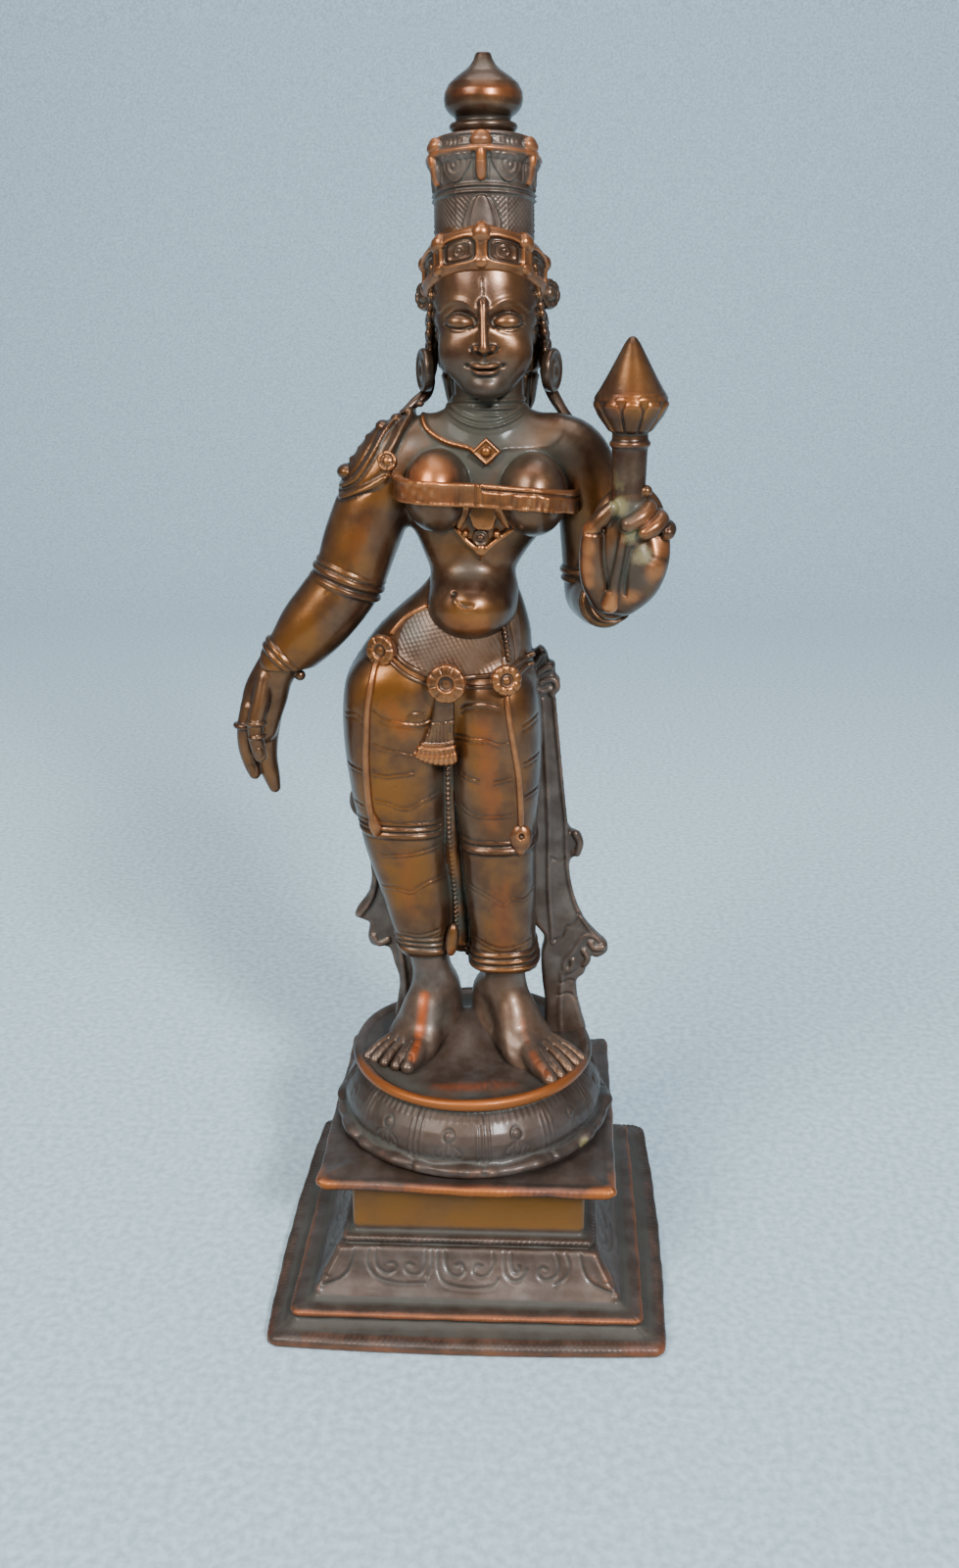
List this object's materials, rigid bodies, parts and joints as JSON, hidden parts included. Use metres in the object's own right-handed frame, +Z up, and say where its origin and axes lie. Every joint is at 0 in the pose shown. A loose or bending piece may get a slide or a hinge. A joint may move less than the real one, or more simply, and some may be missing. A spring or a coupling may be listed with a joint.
{
  "type": "sridevi figure",
  "caption": "Small cast copper-alloy figure of a standing goddess with a lotus bud in her raised hand, on a round lotus seat over a square stepped plinth.",
  "frame": {"origin": "middle of the plinth's underside", "axes": "+Z up; she faces -Y; +X is on the right of someone who looks at her face"},
  "size_m": [0.0596, 0.0566, 0.164],
  "materials": {
    "figure": "dark brown patina on copper alloy, worn to orange copper on the raised parts",
    "plinth": "dark brown patina on copper alloy, ochre on the plain faces, worn bright on the lips"
  },
  "bodies": {
    "root": {"figure": "figure", "plinth": "plinth"}
  },
  "joints": []
}
